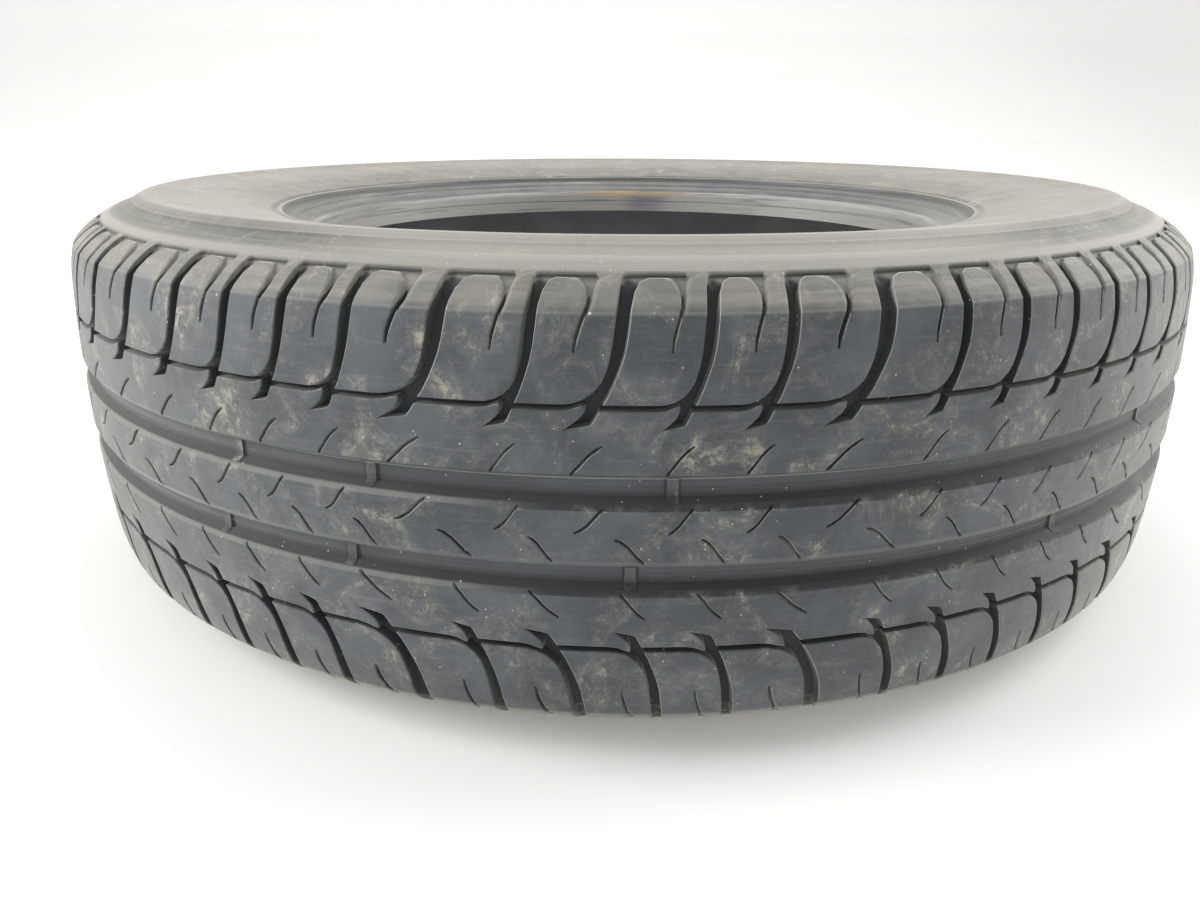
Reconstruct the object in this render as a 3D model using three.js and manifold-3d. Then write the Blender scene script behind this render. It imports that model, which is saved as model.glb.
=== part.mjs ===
// A worn passenger-car tyre of 15 inch bead size, lying on one sidewall.
// Units are millimetres, +Z is up, and the origin is the centre of the face it rests on.
// The tread is drawn flat, as [along the ring, distance from the mid-plane], and bent round.

import * as THREE from 'three';
import * as BufferGeometryUtils from 'three/addons/utils/BufferGeometryUtils.js';
import Module from 'manifold-3d';

const wasm = await Module();
wasm.setup();

// Overall size
const CROWN_RADIUS = 315;
const SECTION_HALF_WIDTH = 97.5;
const BEAD_SEAT_RADIUS = 190.5;
const BEAD_HEEL_HALF_SPAN = 75;

// Worn tread and shoulder: each inset is from the widest place, each drop is from the crown
const CAP_INSET = 36.5;
const CAP_DROP = 2.4;
const WEAR_EDGE_INSET = 20.9;
const WEAR_EDGE_DROP = 5.6;
const SHOULDER_INSET = 10.4;
const SHOULDER_DROP = 17.6;

// Smooth band, slightly sunken, between the shoulder and the sidewall
const BAND_START_INSET = 6.8;
const BAND_START_DROP = 24.8;
const BAND_END_INSET = 2.6;
const BAND_END_DROP = 34.4;
const BAND_RECESS = 0.9;

// Flat ring where the sidewall bulges most, on which the tyre rests
const REST_RING_DROP = 49;
const REST_RING_WIDTH = 14;

// Bead, and the raised ring above it that follows the rim flange
const BEAD_SEAT_WIDTH = 15;
const BEAD_SEAT_TAPER = 2.5;
const BEAD_CHAMFER = 1.5;
const BEAD_HEIGHT = 8;
const FLANGE_RING_HEIGHT = 17;
const FLANGE_RING_OUTSET = 9;
const FLANGE_RING_WIDTH = 5;
const FLANGE_RING_PROUD = 1.6;

// Wall thicknesses
const CROWN_WALL = 10.5;
const SHOULDER_WALL = 13;
const SIDE_WALL = 6;
const LOWER_WALL = 10;

// Grooves that run round the tyre, each placed by its inner edge
const MAIN_GROOVE_INNER = 9.9;
const MAIN_GROOVE_WIDTH = 13.5;
const MAIN_GROOVE_DEPTH = 4.6;
const MAIN_WALL_DRAFT = 3.4;
const THIN_GROOVE_INNER = 44.8;
const THIN_GROOVE_WIDTH = 2.2;

// Curved cross grooves of the shoulders
const CROSS_GROOVE_WIDTH = 5;
const CROSS_GROOVE_DEPTH = 4.4;
const CROSS_GROOVE_TOP_GAP = 1.2;
const TAIL_LENGTH = 6.6;
const TAIL_HEEL_RISE = 1.5;
const BLOCK_CORNER_RISE = 3.8;
const LOWER_PATTERN_LEAD = -2.8;

// Small, medium and large pitches share the ring 5 : 6 : 7, in an uneven order that quiets the hum
const PITCH_SHARES = { S: 5, M: 6, L: 7 };
const PITCH_ORDER = 'LLMSSSLSMSSLSSSSSLMSLSMSLLSSMLSMSLMSSLMLSSSMLSLSMSSLLMSSMLSSLM';
const FIRST_TIP_ANGLE = -55.35;
const DRAWN_PITCH = 33;

// Flat faces that stand for the round inside. Outside there is one to each pitch.
const LINER_SEGMENTS = 24;

const CAP_HALF_WIDTH = SECTION_HALF_WIDTH - CAP_INSET;
const WEAR_EDGE_HALF_WIDTH = SECTION_HALF_WIDTH - WEAR_EDGE_INSET;
const SHOULDER_HALF_WIDTH = SECTION_HALF_WIDTH - SHOULDER_INSET;
const REST_RING_RADIUS = CROWN_RADIUS - REST_RING_DROP;
const FLANGE_RING_RADIUS = BEAD_SEAT_RADIUS + FLANGE_RING_HEIGHT;
const FLANGE_RING_HALF_SPAN = BEAD_HEEL_HALF_SPAN + FLANGE_RING_OUTSET;
const BEAD_TOE_HALF_SPAN = BEAD_HEEL_HALF_SPAN - BEAD_SEAT_WIDTH;

// Radius of the tread at a distance from the mid-plane, before any groove is cut
function surfaceRadius(fromMid) {
  if (fromMid <= CAP_HALF_WIDTH) {
    return CROWN_RADIUS - CAP_DROP * (fromMid / CAP_HALF_WIDTH) ** 2;
  }
  const onWearStrip = fromMid <= WEAR_EDGE_HALF_WIDTH;
  const start = onWearStrip ? CAP_HALF_WIDTH : WEAR_EDGE_HALF_WIDTH;
  const end = onWearStrip ? WEAR_EDGE_HALF_WIDTH : SHOULDER_HALF_WIDTH;
  const startDrop = onWearStrip ? CAP_DROP : WEAR_EDGE_DROP;
  const endDrop = onWearStrip ? WEAR_EDGE_DROP : SHOULDER_DROP;
  return CROWN_RADIUS - THREE.MathUtils.mapLinear(fromMid, start, end, startDrop, endDrop);
}

function mainGrooveOutline() {
  const inner = MAIN_GROOVE_INNER;
  const outer = MAIN_GROOVE_INNER + MAIN_GROOVE_WIDTH;
  return [
    [inner, surfaceRadius(inner)],
    [inner + MAIN_WALL_DRAFT, surfaceRadius(inner) - MAIN_GROOVE_DEPTH],
    [outer - MAIN_WALL_DRAFT, surfaceRadius(outer) - MAIN_GROOVE_DEPTH],
    [outer, surfaceRadius(outer)],
  ];
}

function sunkenBandOutline() {
  const start = new THREE.Vector2(SECTION_HALF_WIDTH - BAND_START_INSET, CROWN_RADIUS - BAND_START_DROP);
  const end = new THREE.Vector2(SECTION_HALF_WIDTH - BAND_END_INSET, CROWN_RADIUS - BAND_END_DROP);
  const along = end.clone().sub(start).setLength(BAND_RECESS);
  const inward = new THREE.Vector2(along.y, -along.x);
  const floorStart = start.clone().add(inward);
  const floorEnd = end.clone().add(inward).sub(along);
  return [start, floorStart, floorEnd, end].map((point) => point.toArray());
}

function lowerSidewallOutline() {
  const crest = new THREE.Vector2(SECTION_HALF_WIDTH, REST_RING_RADIUS - REST_RING_WIDTH);
  const ringTop = new THREE.Vector2(FLANGE_RING_HALF_SPAN, FLANGE_RING_RADIUS + FLANGE_RING_WIDTH / 2);
  const bulge = new THREE.Vector2(SECTION_HALF_WIDTH, (crest.y + ringTop.y) / 2);
  const curve = new THREE.QuadraticBezierCurve(crest, bulge, ringTop);
  return curve.getPoints(3).map((point) => point.toArray());
}

function flangeRingOutline() {
  return [
    [FLANGE_RING_HALF_SPAN + FLANGE_RING_PROUD, FLANGE_RING_RADIUS],
    [FLANGE_RING_HALF_SPAN - FLANGE_RING_PROUD, FLANGE_RING_RADIUS - FLANGE_RING_WIDTH / 2],
  ];
}

// The seat is drawn past the toe, and the hollow inside trims it there
function beadOutline() {
  const slope = BEAD_SEAT_TAPER / BEAD_SEAT_WIDTH;
  const pastToe = BEAD_TOE_HALF_SPAN / 2;
  return [
    [BEAD_HEEL_HALF_SPAN, BEAD_SEAT_RADIUS + BEAD_CHAMFER],
    [BEAD_HEEL_HALF_SPAN - BEAD_CHAMFER, BEAD_SEAT_RADIUS],
    [pastToe, BEAD_SEAT_RADIUS - slope * (BEAD_HEEL_HALF_SPAN - pastToe)],
  ];
}

// The outside of one sidewall, from the shoulder down to the bead
function sideOutline() {
  return [
    [SHOULDER_HALF_WIDTH, surfaceRadius(SHOULDER_HALF_WIDTH)],
    ...sunkenBandOutline(),
    [SECTION_HALF_WIDTH, REST_RING_RADIUS],
    ...lowerSidewallOutline(),
    ...flangeRingOutline(),
    ...beadOutline(),
  ];
}

// The hollow between the sidewalls, from inside the bore to the liner under the crown
function hollowOutline() {
  return [
    [CAP_HALF_WIDTH / 2, CROWN_RADIUS - CAP_DROP / 4 - CROWN_WALL],
    [CAP_HALF_WIDTH, CROWN_RADIUS - CAP_DROP - CROWN_WALL],
    [SHOULDER_HALF_WIDTH - SHOULDER_WALL / 2, CROWN_RADIUS - SHOULDER_DROP - SHOULDER_WALL],
    [SECTION_HALF_WIDTH - SIDE_WALL, REST_RING_RADIUS - REST_RING_WIDTH / 2],
    [FLANGE_RING_HALF_SPAN - LOWER_WALL, FLANGE_RING_RADIUS + FLANGE_RING_WIDTH],
    [BEAD_TOE_HALF_SPAN, BEAD_SEAT_RADIUS + BEAD_HEIGHT],
    [BEAD_TOE_HALF_SPAN, BEAD_SEAT_RADIUS / 2],
  ];
}

function solidFrom(geometry) {
  geometry.deleteAttribute('normal');
  geometry.deleteAttribute('uv');
  const merged = BufferGeometryUtils.mergeVertices(geometry);
  const vertProperties = new Float32Array(merged.attributes.position.array);
  const triVerts = new Uint32Array(merged.index.array);
  return new wasm.Manifold(new wasm.Mesh({ numProp: 3, vertProperties, triVerts }));
}

function hollow() {
  const half = hollowOutline();
  const profileOn = (side) => half.map(
    ([fromMid, radius]) => new THREE.Vector2(radius, SECTION_HALF_WIDTH + side * fromMid),
  );
  const upper = profileOn(1);
  const ring = new THREE.LatheGeometry([...upper, ...profileOn(-1).reverse(), upper[0]], LINER_SEGMENTS);
  ring.rotateX(Math.PI / 2);
  return solidFrom(ring);
}

// Where each pitch starts and how much of the ring it takes, in degrees
function pitchRing() {
  const shares = [...PITCH_ORDER].map((size) => PITCH_SHARES[size]);
  const total = shares.reduce((sum, share) => sum + share, 0);
  let start = FIRST_TIP_ANGLE;
  return shares.map((share) => {
    const pitch = { start, span: (360 * share) / total };
    start += pitch.span;
    return pitch;
  });
}

// One pitch of the shoulder pattern, drawn clockwise: a pointed tail in the rib, the left wall with
// its rounded block corner, the end near the shoulder, and the right wall back down to the tail
function grooveOutline() {
  const thinLow = THIN_GROOVE_INNER;
  const thinHigh = THIN_GROOVE_INNER + THIN_GROOVE_WIDTH;
  const top = SHOULDER_HALF_WIDTH - CROSS_GROOVE_TOP_GAP;
  return {
    tailTip: [0, thinLow - TAIL_LENGTH],
    leftThinLow: [6.6, thinLow],
    leftThinHigh: [1.9, thinHigh],
    blockCorner: [9.9, thinHigh + BLOCK_CORNER_RISE],
    leftCap: [14.5, CAP_HALF_WIDTH],
    leftWear: [17.2, WEAR_EDGE_HALF_WIDTH],
    leftTop: [18.5, top],
    rightTop: [18.5 + CROSS_GROOVE_WIDTH, top],
    rightWear: [17.2 + CROSS_GROOVE_WIDTH, WEAR_EDGE_HALF_WIDTH],
    rightCap: [14 + CROSS_GROOVE_WIDTH, CAP_HALF_WIDTH],
    rightThinHigh: [13.3, thinHigh],
    rightThinLow: [12, thinLow],
    tailHeel: [8.9, thinLow - TAIL_LENGTH + TAIL_HEEL_RISE],
  };
}

// Collects the outside of the tyre. Each vertex keeps its drawn place, so that a polygon can be
// cut into triangles flat. Side is 1 above the mid-plane and -1 below it.
class Skin {
  constructor() {
    this.positions = [];
    this.drawn = [];
    this.faces = [];
  }

  addVertex(degrees, [along, fromMid], radius, side) {
    const angle = THREE.MathUtils.degToRad(degrees);
    const height = SECTION_HALF_WIDTH + side * fromMid;
    this.positions.push(radius * Math.sin(angle), -radius * Math.cos(angle), height);
    this.drawn.push(new THREE.Vector2(along, fromMid));
    return this.drawn.length - 1;
  }

  addFace(a, b, c, side) {
    this.faces.push(...(side > 0 ? [a, b, c] : [a, c, b]));
  }

  addQuad(a, b, c, d, side) {
    this.addFace(a, b, c, side);
    this.addFace(a, c, d, side);
  }

  // Corners of this pitch and then of the next one, which is drawn one pitch to the right
  addPolygon(own, next, side) {
    const shift = new THREE.Vector2(DRAWN_PITCH, 0);
    const corners = [...own, ...next];
    const flat = corners.map((corner, index) => {
      const place = this.drawn[corner].clone();
      return index < own.length ? place : place.add(shift);
    });
    for (const face of THREE.ShapeUtils.triangulateShape(flat, [])) {
      const clockwise = THREE.ShapeUtils.isClockWise(face.map((index) => flat[index]));
      const [a, b, c] = (clockwise ? face.reverse() : face).map((index) => corners[index]);
      this.addFace(a, b, c, side);
    }
  }

  // A groove wall along an edge that has the groove on its right
  addWall(top, floor, from, to, side) {
    this.addQuad(floor[from], floor[to], top[to], top[from], side);
  }

  geometry() {
    const geometry = new THREE.BufferGeometry();
    geometry.setAttribute('position', new THREE.Float32BufferAttribute(this.positions, 3));
    geometry.setIndex(this.faces);
    return geometry;
  }
}

// Every vertex of one pitch on one side: rows across the crown, the groove with its floor, and
// rows down the sidewall, which stand over the middle of the cross groove's end
function addPitchVertices(skin, { start, span }, side) {
  const lead = side > 0 ? 0 : LOWER_PATTERN_LEAD;
  const degreesAt = (along) => start + lead + (along * span) / DRAWN_PITCH;
  const outline = grooveOutline();
  const overEnd = (outline.leftTop[0] + outline.rightTop[0]) / 2;
  const rowVertex = (along) => ([fromMid, radius]) =>
    skin.addVertex(degreesAt(along), [along, fromMid], radius, side);
  const levelVertices = (depth) => Object.fromEntries(
    Object.entries(outline).map(([name, place]) => {
      const radius = surfaceRadius(place[1]) - depth;
      return [name, skin.addVertex(degreesAt(place[0]), place, radius, side)];
    }),
  );
  return {
    crown: mainGrooveOutline().map(rowVertex(0)),
    side: sideOutline().map(rowVertex(overEnd)),
    top: levelVertices(0),
    floor: levelVertices(CROSS_GROOVE_DEPTH),
  };
}

// Strips of the crown and the sidewall, which have no pattern of their own
function addPlainStrips(skin, own, next, side) {
  for (const row of ['crown', 'side']) {
    for (let i = 0; i < own[row].length - 1; i += 1) {
      skin.addQuad(own[row][i], next[row][i], next[row][i + 1], own[row][i + 1], side);
    }
  }
}

// The rib beside the thin groove, and the block between this cross groove and the next
function addLand(skin, own, next, side) {
  const { top } = own;
  const far = next.top;
  const rib = [top.rightThinLow, top.tailHeel, top.tailTip, own.crown.at(-1)];
  skin.addPolygon(rib, [next.crown.at(-1), far.tailTip, far.leftThinLow], side);
  skin.addPolygon([top.rightCap, top.rightThinHigh], [far.leftThinHigh, far.blockCorner, far.leftCap], side);
  skin.addPolygon([top.rightWear, top.rightCap], [far.leftCap, far.leftWear], side);
  skin.addPolygon([top.rightTop, top.rightWear], [far.leftWear, far.leftTop], side);
  skin.addPolygon([own.side[0], top.rightTop], [far.leftTop, next.side[0]], side);
  skin.addPolygon([own.side[0], top.leftTop, top.rightTop], [], side);
}

// Floor and walls of the cross groove, and of the thin groove from it to the next one
function addGroove(skin, own, next, side) {
  const { top, floor } = own;
  const names = Object.keys(top);
  skin.addPolygon(names.map((name) => floor[name]), [], side);
  names.forEach((name, index) => {
    const following = names[(index + 1) % names.length];
    if (name !== 'leftThinLow' && name !== 'rightThinHigh') {
      skin.addWall(top, floor, name, following, side);
    }
  });
  const thinFloor = [floor.rightThinHigh, floor.rightThinLow];
  skin.addPolygon(thinFloor, [next.floor.leftThinLow, next.floor.leftThinHigh], side);
  skin.addQuad(floor.rightThinLow, top.rightThinLow, next.top.leftThinLow, next.floor.leftThinLow, side);
  skin.addQuad(top.rightThinHigh, floor.rightThinHigh, next.floor.leftThinHigh, next.top.leftThinHigh, side);
}

function outside() {
  const skin = new Skin();
  const ring = pitchRing();
  const upper = ring.map((pitch) => addPitchVertices(skin, pitch, 1));
  const lower = ring.map((pitch) => addPitchVertices(skin, pitch, -1));
  ring.forEach((pitch, index) => {
    const following = (index + 1) % ring.length;
    for (const [half, side] of [[upper, 1], [lower, -1]]) {
      addPlainStrips(skin, half[index], half[following], side);
      addLand(skin, half[index], half[following], side);
      addGroove(skin, half[index], half[following], side);
    }
    const [above, aboveNext] = [upper[index], upper[following]];
    const [below, belowNext] = [lower[index], lower[following]];
    skin.addQuad(below.crown[0], belowNext.crown[0], aboveNext.crown[0], above.crown[0], 1);
    skin.addQuad(above.side.at(-1), aboveNext.side.at(-1), belowNext.side.at(-1), below.side.at(-1), 1);
  });
  return solidFrom(skin.geometry());
}

function geometryFrom(solid) {
  const mesh = solid.getMesh();
  const geometry = new THREE.BufferGeometry();
  geometry.setAttribute('position', new THREE.BufferAttribute(mesh.vertProperties, 3));
  geometry.setIndex(new THREE.BufferAttribute(mesh.triVerts, 1));
  geometry.computeVertexNormals();
  return geometry;
}

function tyre() {
  const rubber = new THREE.MeshStandardMaterial({ color: 0x5b6063, roughness: 0.82, metalness: 0 });
  const mesh = new THREE.Mesh(geometryFrom(outside().subtract(hollow())), rubber);
  mesh.name = 'tyre';
  return mesh;
}

const model = new THREE.Group();
model.add(tyre());

export default model;
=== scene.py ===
"""A worn passenger-car tyre lying on one sidewall. Lengths are millimetres until the mesh is wrapped.

The rubber is one mesh. One pitch of its skin is drawn flat, from the mid-plane over the shoulder,
down the sidewall, round the bead and back along the liner. It is drawn twice, because the slits of
the centre rib lie elsewhere below the mid-plane. The pitches are set round the ring in three lengths
and bent to the tyre's radius, the first drawing above the mid-plane and the second mirrored below it.
"""

import math

import bpy
import numpy as np
from mathutils import Matrix, Vector
from mathutils.geometry import delaunay_2d_cdt


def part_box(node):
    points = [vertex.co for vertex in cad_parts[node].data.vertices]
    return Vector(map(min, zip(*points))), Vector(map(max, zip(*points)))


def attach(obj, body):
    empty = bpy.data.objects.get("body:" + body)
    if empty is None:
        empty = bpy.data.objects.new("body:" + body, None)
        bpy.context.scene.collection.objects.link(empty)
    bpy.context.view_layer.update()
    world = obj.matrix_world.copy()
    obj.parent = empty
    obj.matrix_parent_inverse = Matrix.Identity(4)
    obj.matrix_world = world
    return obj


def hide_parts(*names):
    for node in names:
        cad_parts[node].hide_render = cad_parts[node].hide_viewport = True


MM = 0.001

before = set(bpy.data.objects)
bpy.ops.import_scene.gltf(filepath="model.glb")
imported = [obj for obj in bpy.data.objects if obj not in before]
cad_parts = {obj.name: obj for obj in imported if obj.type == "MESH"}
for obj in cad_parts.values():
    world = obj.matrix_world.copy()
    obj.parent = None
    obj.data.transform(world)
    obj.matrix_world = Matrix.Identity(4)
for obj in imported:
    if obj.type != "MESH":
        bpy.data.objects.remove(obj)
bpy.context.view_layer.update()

# Main sizes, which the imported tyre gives
LOWEST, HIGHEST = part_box("tyre")
MID_HEIGHT = (LOWEST.z + HIGHEST.z) / 2 / MM
SECTION_HALF_WIDTH = (HIGHEST.z - LOWEST.z) / 2 / MM
CROWN_RADIUS = (HIGHEST.x - LOWEST.x) / 2 / MM

# Worn tread and shoulder, as half widths and drops below the crown
CAP_HALF_WIDTH, CAP_DROP = 61.0, 2.4
WEAR_EDGE_HALF_WIDTH, WEAR_EDGE_DROP = 76.6, 5.6
SHOULDER_CONTROL = (84.6, 11.6)
BAND_START = (90.7, 24.8)
BAND_END = (94.9, 34.4)
BAND_RECESS = 0.5
TREAD_EDGE = 88.9

# Sidewall and bead, as half widths and radii
CREST_TOP_RADIUS = 275.0
FLANGE_RING = (84.0, 207.5)
FLANGE_RING_PROUD = 1.6
BEAD_HEEL = (75.0, 190.5)
BEAD_TOE = (60.0, 188.0)

# One pitch is drawn this long, and the seam to the next one lies left of the tail's tip
DRAWN_PITCH = 33.0
SEAM = -4.5
COLUMNS = 4
PITCH_SHARES = {"S": 5, "M": 6, "L": 7}
PITCH_ORDER = "LLMSSSLSMSSLSSSSSLMSLSMSLLSSMLSMSLMSSLMLSSSMLSLSMSSLLMSSMLSSLM"
FIRST_TIP_ANGLE = -55.35
LOWER_PATTERN_LEAD = -2.8
LEAD_STARTS_AT = 18.5
LOWER_CENTRE_SLIT_SHIFT = 14.0

# Faces of the pitch by their finish
TREAD_ZONE, BEAD_ZONE, LINER_ZONE = 0, 1, 2
SHARP_ANGLE = 40

# How the pattern is cut
EDGE_ROUND = 0.35
EDGE_LIP = 0.22
WALL_RUN = 0.45
GROOVE_DEPTH = 4.4
THIN_GROOVE_DEPTH = GROOVE_DEPTH - 0.4
SHOULDER_LINE_DEPTH = 1.5
SLIT_DEPTH = 3.4
SLIT_WIDTH, SHOULDER_SLIT_WIDTH = 1.15, 1.5
SLIT_END_WIDTH_SHARE, SLIT_END_REACH_SHARE, SLIT_TIP_DEPTH_SHARE = 0.55, 0.8, 0.4

# Rims with a painted highlight: how far to each side the fall is felt, the depth where a rim begins,
# the depths over which it comes up and fades, the fall that makes it bright, and the wide groove depth
# that ends it
RIM_REACHES = np.array([(0.5, 0.0), (0.0, 0.5)])
RIM_BEGINS, RIM_COMES_UP, RIM_FADES = 0.05, 0.1, 0.5
BRIGHT_FALL, WIDE_GROOVE_STARTS = 2.5, 0.1

# How the drawing is filled with points, and welded when it is bent
FILLER_SPACING = 6.0
SHOULDER_SPACING = 3.1
FILLER_CLEARANCE = 1.3
ROWS_DOWN_THE_SEAM = {28.0, 33.0, 38.0, 43.0, 51.0, 56.0, 66.0, 71.5, 80.0, 83.5}
SAME_CORNER = 0.05
ON_SEAM = 1e-6
WELD_WITHIN = 0.02


def tread_point(from_mid):
    """Drop below the crown and outward normal of the tread's section, before any cut."""
    cap_slope = 2 * CAP_DROP / CAP_HALF_WIDTH
    run = WEAR_EDGE_HALF_WIDTH - CAP_HALF_WIDTH
    bend = (WEAR_EDGE_DROP - CAP_DROP - cap_slope * run) / run**2
    if from_mid <= CAP_HALF_WIDTH:
        drop = CAP_DROP * (from_mid / CAP_HALF_WIDTH) ** 2
        slope = 2 * CAP_DROP * from_mid / CAP_HALF_WIDTH**2
    elif from_mid <= WEAR_EDGE_HALF_WIDTH:
        out = from_mid - CAP_HALF_WIDTH
        drop = CAP_DROP + cap_slope * out + bend * out**2
        slope = cap_slope + 2 * bend * out
    else:
        drop, slope = shoulder_drop(from_mid)
    normal = Vector((slope, 1.0)).normalized()
    return drop, normal


def shoulder_drop(from_mid):
    """Drop and slope on the curve from the wear edge to the smooth band."""
    start = Vector((WEAR_EDGE_HALF_WIDTH, WEAR_EDGE_DROP))
    control, end = Vector(SHOULDER_CONTROL), Vector(BAND_START)
    square = start.x - 2 * control.x + end.x
    linear = 2 * (control.x - start.x)
    root = math.sqrt(linear**2 - 4 * square * (start.x - from_mid))
    t = (-linear + root) / (2 * square)
    point = (1 - t) ** 2 * start + 2 * t * (1 - t) * control + t**2 * end
    along = (1 - t) * (control - start) + t * (end - control)
    return point.y, along.y / along.x


def side_section():
    """Half widths and radii from the tread's edge down the sidewall, round the bead and back inside,
    and the zone of each row."""
    start = Vector((BAND_START[0], CROWN_RADIUS - BAND_START[1]))
    end = Vector((BAND_END[0], CROWN_RADIUS - BAND_END[1]))
    along = (end - start).normalized()
    inward = Vector((along.y, -along.x)) * BAND_RECESS
    edge_drop = tread_point(TREAD_EDGE)[0]
    band = [
        (TREAD_EDGE, CROWN_RADIUS - edge_drop),
        start - along * 0.6,
        start + along * 1.8 + inward * 0.35,
        start + along * 4.0 + inward,
        end - along * 3.6 + inward,
        end - along * 1.6 + inward * 0.8,
        end,
        end + along * 0.9,
    ]
    wall = [
        (96.2, CREST_TOP_RADIUS + 3.2),
        (97.2, CREST_TOP_RADIUS + 1.4),
        (SECTION_HALF_WIDTH - 0.02, CREST_TOP_RADIUS),
        (97.25, CREST_TOP_RADIUS - 2.2),
        (96.7, CREST_TOP_RADIUS - 5.0),
        (95.6, 263.0),
        (94.2, 252.0),
        (93.0, 243.0),
        (91.5, 234.0),
        (89.5, 225.0),
        (87.6, 217.5),
        (86.3, 212.5),
    ]
    ring_half, ring_radius = FLANGE_RING
    flange = [
        (ring_half + 1.0, ring_radius + 2.4),
        (ring_half + FLANGE_RING_PROUD, ring_radius + 0.8),
        (ring_half + FLANGE_RING_PROUD - 0.3, ring_radius - 0.9),
        (ring_half - 1.2, ring_radius - 1.9),
        (ring_half - 2.0, ring_radius - 3.4),
        (80.1, 200.2),
        (78.9, 199.0),
        (77.0, 195.0),
        (BEAD_HEEL[0], BEAD_HEEL[1] + 1.6),
        (BEAD_HEEL[0] - 0.5, BEAD_HEEL[1] + 0.5),
        (BEAD_HEEL[0] - 1.6, BEAD_HEEL[1]),
        (68.0, 189.4),
        (67.4, 189.9),
        (66.8, 189.2),
        BEAD_TOE,
    ]
    inside = [
        (59.6, 190.0),
        (60.5, 198.5),
        (74.0, 212.5),
        (85.5, 236.0),
        (90.9, 258.0),
        (87.5, 277.0),
        (76.0, 291.5),
        (60.0, 301.4),
        (30.5, 303.9),
        (0.0, 304.4),
    ]
    rows = [tuple(point) for point in band + wall + flange + inside]
    outside_count = len(band + wall)
    zones = [TREAD_ZONE] * outside_count + [BEAD_ZONE] * len(flange) + [LINER_ZONE] * len(inside)
    return rows, zones


def smooth_line(points, step):
    """A smooth curve that passes through each of the points, drawn with places about a step apart."""
    known = [Vector(point) for point in points]
    ends = [2 * known[0] - known[1], *known, 2 * known[-1] - known[-2]]
    line = []
    for a, b, c, d in zip(ends, ends[1:], ends[2:], ends[3:]):
        count = max(1, round((c - b).length / step))
        for i in range(count):
            t = i / count
            line.append(
                0.5 * (2 * b + (c - a) * t + (2 * a - 5 * b + 4 * c - d) * t**2
                       + (3 * b - a - 3 * c + d) * t**3)
            )
    line.append(known[-1])
    return line


def straight_line(start, end, step):
    """A straight stretch with places about a step apart."""
    start, end = Vector(start), Vector(end)
    count = max(1, round((end - start).length / step))
    return [start.lerp(end, i / count) for i in range(count + 1)]


def joined(*lines):
    """Stretches of a closed outline, end to end, with each shared corner once."""
    outline = []
    for line in lines:
        for point in line:
            if not outline or (point - outline[-1]).length > SAME_CORNER:
                outline.append(point)
    if (outline[0] - outline[-1]).length <= SAME_CORNER:
        outline.pop()
    return outline


def moved_sideways(outline, distance):
    """A closed outline grown by a distance, or shrunk by a negative one, with mitred corners."""
    count = len(outline)
    area = sum(a.x * b.y - b.x * a.y for a, b in zip(outline, outline[1:] + outline[:1]))
    turn = 1 if area > 0 else -1
    moved = []
    for i, point in enumerate(outline):
        before = (point - outline[i - 1]).normalized()
        after = (outline[(i + 1) % count] - point).normalized()
        normals = [Vector((edge.y, -edge.x)) * turn for edge in (before, after)]
        middle = normals[0] + normals[1]

        # A corner that nearly folds back on itself would grow a spike, so its reach is limited
        if middle.length < 0.35:
            middle = before - after
        reach = 2 / max(middle.length_squared, 0.25)
        moved.append(point + middle * (distance * reach))
    return moved


class Cut:
    """A closed outline sunk into the tread: its lines for the mesh, and its depth at any place."""

    def __init__(self, outline, depth, wall=WALL_RUN, lip=EDGE_LIP, edge=EDGE_ROUND):
        self.depth, self.wall, self.lip, self.edge = depth, wall, lip, edge
        rings = [outline, moved_sideways(outline, edge), moved_sideways(outline, -wall)]
        self.lines = [ring + ring[:1] for ring in rings]
        corners = np.array([point[:] for point in outline])
        self.starts, self.ends = corners, np.roll(corners, -1, axis=0)

    def depths(self, places):
        """Depth at each place: the rounded lip outside the outline, the wall within it, the floor."""
        inside = inside_outline(places, self.starts, self.ends)
        away = distance_to_lines(places, self.starts, self.ends)
        signed = np.where(inside, away, -away)
        full = self.depth(places) if callable(self.depth) else np.full(len(places), self.depth)
        ramp = np.clip(signed / self.wall, 0, 1)
        rim = np.clip(1 + signed / self.edge, 0, 1) * self.lip
        return np.minimum(rim, full) + np.maximum(full - self.lip, 0) * ramp


class Slit:
    """A narrow slit along a line, as deep as it goes at its middle and running out at its ends."""

    def __init__(self, centreline, width, depth):
        self.middle, self.half, self.deepest = centreline, width / 2, depth
        gaps = (self.half, self.half + EDGE_ROUND)
        rings = [self.side(gap) + self.side(-gap)[::-1] for gap in gaps]
        self.lines = [centreline] + [ring + ring[:1] for ring in rings]
        line = np.array([point[:] for point in centreline])
        self.starts, self.ends = line[:-1], line[1:]
        self.tips = line[[0, -1]]

    def side(self, gap):
        """The line moved sideways by the gap, and drawn in and lengthened at its ends."""
        moved = []
        last = len(self.middle) - 1
        for i, point in enumerate(self.middle):
            along = (self.middle[min(i + 1, last)] - self.middle[max(i - 1, 0)]).normalized()
            beyond = (i == last) - (i == 0)
            across = Vector((-along.y, along.x)) * gap * (SLIT_END_WIDTH_SHARE if beyond else 1)
            moved.append(point + across + along * beyond * abs(gap) * SLIT_END_REACH_SHARE)
        return moved

    def depths(self, places):
        """Depth at each place, deepest on the line itself."""
        away = distance_to_lines(places, self.starts, self.ends)
        near_tip = np.min([np.linalg.norm(places - tip, axis=1) for tip in self.tips], axis=0)
        deepest = self.deepest * np.clip(SLIT_TIP_DEPTH_SHARE + near_tip, 0, 1)
        lip = EDGE_LIP * np.clip(1 - (away - self.half) / EDGE_ROUND, 0, 1)
        return lip + np.maximum(deepest - EDGE_LIP, 0) * np.clip(1 - away / self.half, 0, 1)


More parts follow.
